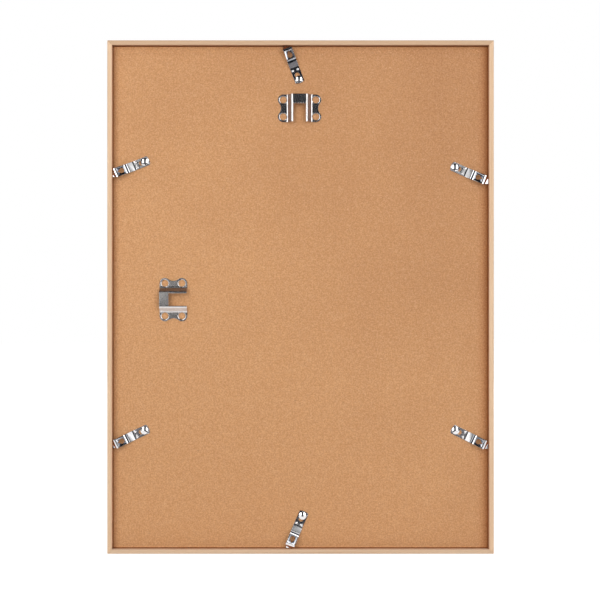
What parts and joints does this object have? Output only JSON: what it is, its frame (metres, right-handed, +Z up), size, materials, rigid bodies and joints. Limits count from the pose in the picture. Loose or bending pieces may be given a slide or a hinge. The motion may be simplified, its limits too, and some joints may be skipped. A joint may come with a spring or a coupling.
{
  "type": "wooden picture frame",
  "caption": "Upright picture frame of mitred pale wood with glass, a hardboard back held by turning spring clips, and sawtooth hangers for hanging it upright or sideways.",
  "frame": {"origin": "middle of the bottom edge, halfway through the depth", "axes": "+Z up the upright frame; the back, with the clips and hangers, faces -Y and the glass faces +Y; +X is to the right as the back is looked at"},
  "size_m": [0.309, 0.015, 0.4105],
  "materials": {
    "pale_wood": "pale solid wood, clear matt varnish, straight fine grain along each rail",
    "hardboard": "warm brown fibreboard with fine dark and pale flecks",
    "clip_nickel": "bright nickel plate on spring steel",
    "hanger_steel": "nickel plate, softer and darker than the clips",
    "nail_steel": "bare steel strip",
    "glass": "clear float glass with its arrises taken off",
    "paper": "blank uncoated sheet"
  },
  "bodies": {
    "frame": {"rail_left": "pale_wood", "rail_top": "pale_wood", "rail_right": "pale_wood", "rail_bottom": "pale_wood", "v_nail_bottom_left": "nail_steel", "v_nail_bottom_right": "nail_steel", "v_nail_top_right": "nail_steel", "v_nail_top_left": "nail_steel", "glass_pane": "glass", "picture_sheet": "paper", "back_panel": "hardboard", "hanger_portrait": "hanger_steel", "hanger_landscape": "hanger_steel"},
    "pivot_left_high": {"rivet_left_high": "clip_nickel"},
    "spring_left_high": {"clip_left_high": "clip_nickel"},
    "pivot_left_low": {"rivet_left_low": "clip_nickel"},
    "spring_left_low": {"clip_left_low": "clip_nickel"},
    "pivot_right_high": {"rivet_right_high": "clip_nickel"},
    "spring_right_high": {"clip_right_high": "clip_nickel"},
    "pivot_right_low": {"rivet_right_low": "clip_nickel"},
    "spring_right_low": {"clip_right_low": "clip_nickel"},
    "pivot_top": {"rivet_top": "clip_nickel"},
    "spring_top": {"clip_top": "clip_nickel"},
    "pivot_bottom": {"rivet_bottom": "clip_nickel"},
    "spring_bottom": {"clip_bottom": "clip_nickel"}
  },
  "joints": [
    {"name": "clip_left_high_turn", "type": "hinge", "parent": "frame", "child": "pivot_left_high", "pos_m": [-0.1254, -0.0023, 0.31385], "axis": [0, -1, 0], "range_deg": [0, 316.2]},
    {"name": "clip_left_high_slide", "type": "slide", "parent": "pivot_left_high", "child": "spring_left_high", "axis": [-0.9278, 0, -0.373], "range_m": [-0.00275, 0]},
    {"name": "clip_left_low_turn", "type": "hinge", "parent": "frame", "child": "pivot_left_low", "pos_m": [-0.1254, -0.0023, 0.09815], "axis": [0, -1, 0], "range_deg": [0, 310]},
    {"name": "clip_left_low_slide", "type": "slide", "parent": "pivot_left_low", "child": "spring_left_low", "axis": [-0.9063, 0, -0.4226], "range_m": [-0.003, 0]},
    {"name": "clip_right_high_turn", "type": "hinge", "parent": "frame", "child": "pivot_right_high", "pos_m": [0.1245, -0.0023, 0.30935], "axis": [0, 1, 0], "range_deg": [0, 311.4]},
    {"name": "clip_right_high_slide", "type": "slide", "parent": "pivot_right_high", "child": "spring_right_high", "axis": [0.9114, 0, -0.4115], "range_m": [-0.003, 0]},
    {"name": "clip_right_low_turn", "type": "hinge", "parent": "frame", "child": "pivot_right_low", "pos_m": [0.1245, -0.0023, 0.09815], "axis": [0, 1, 0], "range_deg": [0, 308]},
    {"name": "clip_right_low_slide", "type": "slide", "parent": "pivot_right_low", "child": "spring_right_low", "axis": [0.8988, 0, -0.4384], "range_m": [-0.0034, 0]},
    {"name": "clip_top_turn", "type": "hinge", "parent": "frame", "child": "pivot_top", "pos_m": [-0.0012, -0.0023, 0.38], "axis": [0, -1, 0], "range_deg": [0, 90]},
    {"name": "clip_top_slide", "type": "slide", "parent": "pivot_top", "child": "spring_top", "axis": [-0.3616, 0, 0.9323], "range_m": [-0.004, 0]},
    {"name": "clip_bottom_turn", "type": "hinge", "parent": "frame", "child": "pivot_bottom", "pos_m": [0.0016, -0.0023, 0.0296], "axis": [0, 1, 0], "range_deg": [0, 312.4]},
    {"name": "clip_bottom_slide", "type": "slide", "parent": "pivot_bottom", "child": "spring_bottom", "axis": [-0.4035, 0, -0.915], "range_m": [-0.003, 0]}
  ]
}
